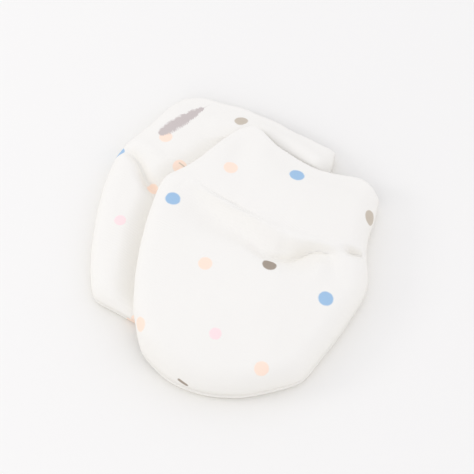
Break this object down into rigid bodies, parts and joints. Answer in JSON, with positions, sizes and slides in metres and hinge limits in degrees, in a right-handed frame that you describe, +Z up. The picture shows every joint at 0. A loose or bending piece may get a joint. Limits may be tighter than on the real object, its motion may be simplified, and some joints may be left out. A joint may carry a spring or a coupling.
{
  "type": "pair of baby mittens",
  "caption": "Newborn scratch mittens of thin dotted jersey, lying flat with one laid across the other, cuffs open.",
  "frame": {"origin": "middle of the pair's bounding box, on the surface that it lies on", "axes": "+Z up from the surface; +Y along the mittens from the fingertips to the open hems; +X across them, from the lower mitten to the upper one"},
  "size_m": [0.1088, 0.1115, 0.018],
  "materials": {
    "lower_mitten_top_panel": "white cotton jersey with scattered pastel dots",
    "lower_mitten_under_panel": "white cotton jersey with scattered pastel dots",
    "upper_mitten_top_panel": "white cotton jersey with scattered pastel dots",
    "upper_mitten_under_panel": "white cotton jersey with scattered pastel dots"
  },
  "bodies": {
    "root": {"lower_mitten_top_panel": "lower_mitten_top_panel", "lower_mitten_under_panel": "lower_mitten_under_panel", "upper_mitten_top_panel": "upper_mitten_top_panel", "upper_mitten_under_panel": "upper_mitten_under_panel"}
  },
  "joints": []
}
